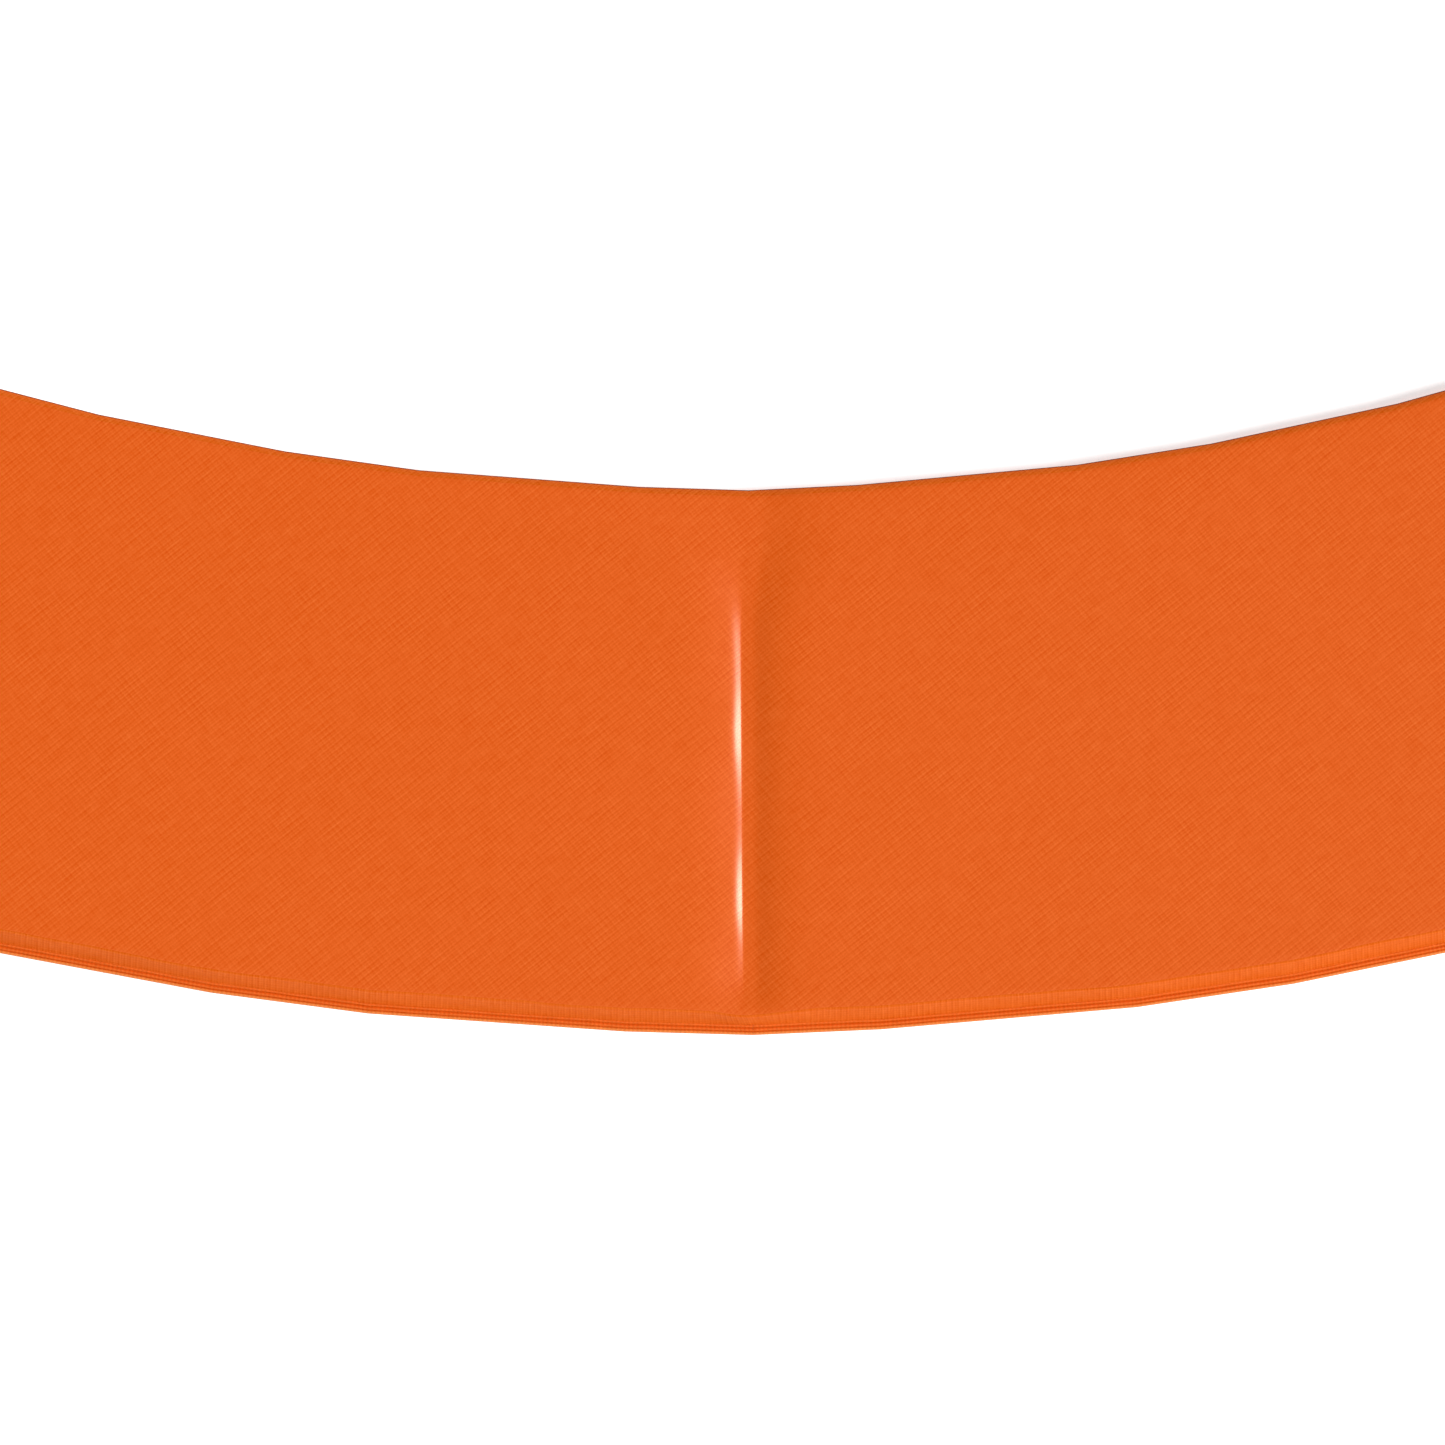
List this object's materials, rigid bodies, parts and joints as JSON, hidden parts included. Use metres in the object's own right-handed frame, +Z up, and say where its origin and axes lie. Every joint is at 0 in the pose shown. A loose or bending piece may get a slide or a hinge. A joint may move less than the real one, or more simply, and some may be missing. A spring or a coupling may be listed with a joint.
{
  "type": "trampoline safety pad",
  "caption": "Round padded ring that covers a trampoline's springs: foam segments in coated tarpaulin, a bound outer hem, elastic hook straps underneath; folds in half.",
  "frame": {"origin": "centre of the ring, on the plane that the underside rests on", "axes": "+Z up out of the padded top face; the fold in half turns about a line along Y, through the seams at -Y and +Y; the pictured seam is the one at -Y"},
  "size_m": [3.66, 3.66, 0.018],
  "materials": {
    "cover": "satin",
    "hem": "satin",
    "foam": "matte",
    "elastic": "matte",
    "hook": "satin"
  },
  "bodies": {
    "left_half": {"bottom_cover_5": "cover", "foam_core_5": "foam", "top_cover_5": "cover", "hem_binding_5": "hem", "strap_tack_5": "elastic", "bottom_cover_6": "cover", "foam_core_6": "foam", "top_cover_6": "cover", "hem_binding_6": "hem", "strap_tack_6": "elastic", "bottom_cover_7": "cover", "foam_core_7": "foam", "top_cover_7": "cover", "hem_binding_7": "hem", "strap_tack_7": "elastic", "bottom_cover_8": "cover", "foam_core_8": "foam", "top_cover_8": "cover", "hem_binding_8": "hem", "strap_tack_8": "elastic"},
    "right_half": {"bottom_cover_1": "cover", "foam_core_1": "foam", "top_cover_1": "cover", "hem_binding_1": "hem", "strap_tack_1": "elastic", "bottom_cover_2": "cover", "foam_core_2": "foam", "top_cover_2": "cover", "hem_binding_2": "hem", "strap_tack_2": "elastic", "bottom_cover_3": "cover", "foam_core_3": "foam", "top_cover_3": "cover", "hem_binding_3": "hem", "strap_tack_3": "elastic", "bottom_cover_4": "cover", "foam_core_4": "foam", "top_cover_4": "cover", "hem_binding_4": "hem", "strap_tack_4": "elastic"},
    "strap_1": {"elastic_strap_1": "elastic", "strap_hook_1": "hook"},
    "strap_2": {"elastic_strap_2": "elastic", "strap_hook_2": "hook"},
    "strap_3": {"elastic_strap_3": "elastic", "strap_hook_3": "hook"},
    "strap_4": {"elastic_strap_4": "elastic", "strap_hook_4": "hook"},
    "strap_5": {"elastic_strap_5": "elastic", "strap_hook_5": "hook"},
    "strap_6": {"elastic_strap_6": "elastic", "strap_hook_6": "hook"},
    "strap_7": {"elastic_strap_7": "elastic", "strap_hook_7": "hook"},
    "strap_8": {"elastic_strap_8": "elastic", "strap_hook_8": "hook"}
  },
  "joints": [
    {"name": "fold_in_half", "type": "hinge", "parent": "left_half", "child": "right_half", "pos_m": [0, 0, 0.0185], "axis": [0, -1, 0], "range_deg": [0, 180]},
    {"name": "strap_1_swing", "type": "hinge", "parent": "right_half", "child": "strap_1", "pos_m": [0.66935, -1.61596, 0.0028], "axis": [-0.9239, -0.3827, 0], "range_deg": [0, 120]},
    {"name": "strap_2_swing", "type": "hinge", "parent": "right_half", "child": "strap_2", "pos_m": [1.61596, -0.66935, 0.0028], "axis": [-0.3827, -0.9239, 0], "range_deg": [0, 120]},
    {"name": "strap_3_swing", "type": "hinge", "parent": "right_half", "child": "strap_3", "pos_m": [1.61596, 0.66935, 0.0028], "axis": [0.3827, -0.9239, 0], "range_deg": [0, 120]},
    {"name": "strap_4_swing", "type": "hinge", "parent": "right_half", "child": "strap_4", "pos_m": [0.66935, 1.61596, 0.0028], "axis": [0.9239, -0.3827, 0], "range_deg": [0, 120]},
    {"name": "strap_5_swing", "type": "hinge", "parent": "left_half", "child": "strap_5", "pos_m": [-0.66935, 1.61596, 0.0028], "axis": [0.9239, 0.3827, 0], "range_deg": [0, 120]},
    {"name": "strap_6_swing", "type": "hinge", "parent": "left_half", "child": "strap_6", "pos_m": [-1.61596, 0.66935, 0.0028], "axis": [0.3827, 0.9239, 0], "range_deg": [0, 120]},
    {"name": "strap_7_swing", "type": "hinge", "parent": "left_half", "child": "strap_7", "pos_m": [-1.61596, -0.66935, 0.0028], "axis": [-0.3827, 0.9239, 0], "range_deg": [0, 120]},
    {"name": "strap_8_swing", "type": "hinge", "parent": "left_half", "child": "strap_8", "pos_m": [-0.66935, -1.61596, 0.0028], "axis": [-0.9239, 0.3827, 0], "range_deg": [0, 120]}
  ]
}
